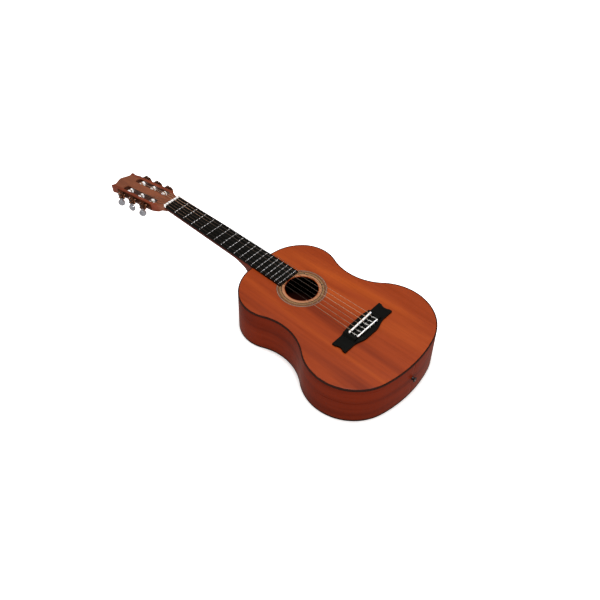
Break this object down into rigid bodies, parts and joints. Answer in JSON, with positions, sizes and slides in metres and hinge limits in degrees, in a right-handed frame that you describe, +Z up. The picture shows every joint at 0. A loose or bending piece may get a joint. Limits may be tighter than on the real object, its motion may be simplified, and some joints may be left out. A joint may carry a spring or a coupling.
{
  "type": "classical guitar",
  "caption": "Small classical guitar lying on its back, with a slotted head, geared tuners that turn their rollers, a tie bridge and a strap button.",
  "frame": {"origin": "centre of the guitar's footprint, on the plane of its flat back", "axes": "+X from the head to the tail, +Y towards the treble side, +Z up out of the soundboard"},
  "size_m": [0.776, 0.269, 0.0997],
  "materials": {
    "top_wood": "gloss",
    "rosette_wood": "gloss",
    "side_wood": "gloss",
    "edging": "gloss",
    "pale_wood": "satin",
    "neck_wood": "satin",
    "head_wood": "gloss",
    "black_wood": "satin",
    "fret_metal": "polished",
    "white_plastic": "gloss",
    "bronzed_metal": "satin",
    "plated_steel": "polished",
    "gear_brass": "polished",
    "nylon": "gloss",
    "wound_string": "satin"
  },
  "bodies": {
    "guitar": {"soundboard": "top_wood", "rosette": "rosette_wood", "back": "side_wood", "bass_side": "side_wood", "treble_side": "side_wood", "top_edging": "edging", "back_edging": "edging", "top_lining": "pale_wood", "back_lining": "pale_wood", "neck_block": "pale_wood", "tail_block": "pale_wood", "soundboard_braces": "pale_wood", "back_braces": "pale_wood", "neck": "neck_wood", "heel_cap": "edging", "headstock": "head_wood", "fingerboard": "black_wood", "frets": "fret_metal", "nut": "white_plastic", "bridge": "black_wood", "saddle": "white_plastic", "tie_strip": "white_plastic", "string_1": "nylon", "string_2": "nylon", "string_3": "nylon", "string_4": "wound_string", "string_5": "wound_string", "string_6": "wound_string", "bass_tuner_plate": "bronzed_metal", "treble_tuner_plate": "bronzed_metal", "tuner_plate_screws": "bronzed_metal", "strap_button": "plated_steel", "strap_button_screw": "plated_steel"},
    "tuner_1_worm": {"button_1": "plated_steel", "worm_1": "plated_steel"},
    "tuner_1_roller": {"gear_1": "gear_brass", "roller_1": "white_plastic"},
    "tuner_2_worm": {"button_2": "plated_steel", "worm_2": "plated_steel"},
    "tuner_2_roller": {"gear_2": "gear_brass", "roller_2": "white_plastic"},
    "tuner_3_worm": {"button_3": "plated_steel", "worm_3": "plated_steel"},
    "tuner_3_roller": {"gear_3": "gear_brass", "roller_3": "white_plastic"},
    "tuner_4_worm": {"button_4": "plated_steel", "worm_4": "plated_steel"},
    "tuner_4_roller": {"gear_4": "gear_brass", "roller_4": "white_plastic"},
    "tuner_5_worm": {"button_5": "plated_steel", "worm_5": "plated_steel"},
    "tuner_5_roller": {"gear_5": "gear_brass", "roller_5": "white_plastic"},
    "tuner_6_worm": {"button_6": "plated_steel", "worm_6": "plated_steel"},
    "tuner_6_roller": {"gear_6": "gear_brass", "roller_6": "white_plastic"}
  },
  "joints": [
    {"name": "tuner_1_worm_spin", "type": "hinge", "parent": "guitar", "child": "tuner_1_worm", "pos_m": [-0.27714, 0.0365, 0.06915], "axis": [-0.1736, 0, 0.9848], "continuous": true},
    {"name": "tuner_1_roller_spin", "type": "hinge", "parent": "guitar", "child": "tuner_1_roller", "pos_m": [-0.26806, 0.0365, 0.07075], "axis": [0, 1, 0], "continuous": true},
    {"name": "tuner_2_worm_spin", "type": "hinge", "parent": "guitar", "child": "tuner_2_worm", "pos_m": [-0.31161, 0.0365, 0.06307], "axis": [-0.1736, 0, 0.9848], "continuous": true},
    {"name": "tuner_2_roller_spin", "type": "hinge", "parent": "guitar", "child": "tuner_2_roller", "pos_m": [-0.30253, 0.0365, 0.06467], "axis": [0, 1, 0], "continuous": true},
    {"name": "tuner_3_worm_spin", "type": "hinge", "parent": "guitar", "child": "tuner_3_worm", "pos_m": [-0.34608, 0.0365, 0.05699], "axis": [-0.1736, 0, 0.9848], "continuous": true},
    {"name": "tuner_3_roller_spin", "type": "hinge", "parent": "guitar", "child": "tuner_3_roller", "pos_m": [-0.33699, 0.0365, 0.05859], "axis": [0, 1, 0], "continuous": true},
    {"name": "tuner_4_worm_spin", "type": "hinge", "parent": "guitar", "child": "tuner_4_worm", "pos_m": [-0.34608, -0.0365, 0.05699], "axis": [-0.1736, 0, 0.9848], "continuous": true},
    {"name": "tuner_4_roller_spin", "type": "hinge", "parent": "guitar", "child": "tuner_4_roller", "pos_m": [-0.33699, -0.0365, 0.05859], "axis": [0, 1, 0], "continuous": true},
    {"name": "tuner_5_worm_spin", "type": "hinge", "parent": "guitar", "child": "tuner_5_worm", "pos_m": [-0.31161, -0.0365, 0.06307], "axis": [-0.1736, 0, 0.9848], "continuous": true},
    {"name": "tuner_5_roller_spin", "type": "hinge", "parent": "guitar", "child": "tuner_5_roller", "pos_m": [-0.30253, -0.0365, 0.06467], "axis": [0, 1, 0], "continuous": true},
    {"name": "tuner_6_worm_spin", "type": "hinge", "parent": "guitar", "child": "tuner_6_worm", "pos_m": [-0.27714, -0.0365, 0.06915], "axis": [-0.1736, 0, 0.9848], "continuous": true},
    {"name": "tuner_6_roller_spin", "type": "hinge", "parent": "guitar", "child": "tuner_6_roller", "pos_m": [-0.26806, -0.0365, 0.07075], "axis": [0, 1, 0], "continuous": true}
  ],
  "couplings": [
    {"joint": "tuner_1_roller_spin", "follows": "tuner_1_worm_spin", "ratio": -0.071429},
    {"joint": "tuner_2_roller_spin", "follows": "tuner_2_worm_spin", "ratio": -0.071429},
    {"joint": "tuner_3_roller_spin", "follows": "tuner_3_worm_spin", "ratio": -0.071429},
    {"joint": "tuner_4_roller_spin", "follows": "tuner_4_worm_spin", "ratio": -0.071429},
    {"joint": "tuner_5_roller_spin", "follows": "tuner_5_worm_spin", "ratio": -0.071429},
    {"joint": "tuner_6_roller_spin", "follows": "tuner_6_worm_spin", "ratio": -0.071429}
  ]
}
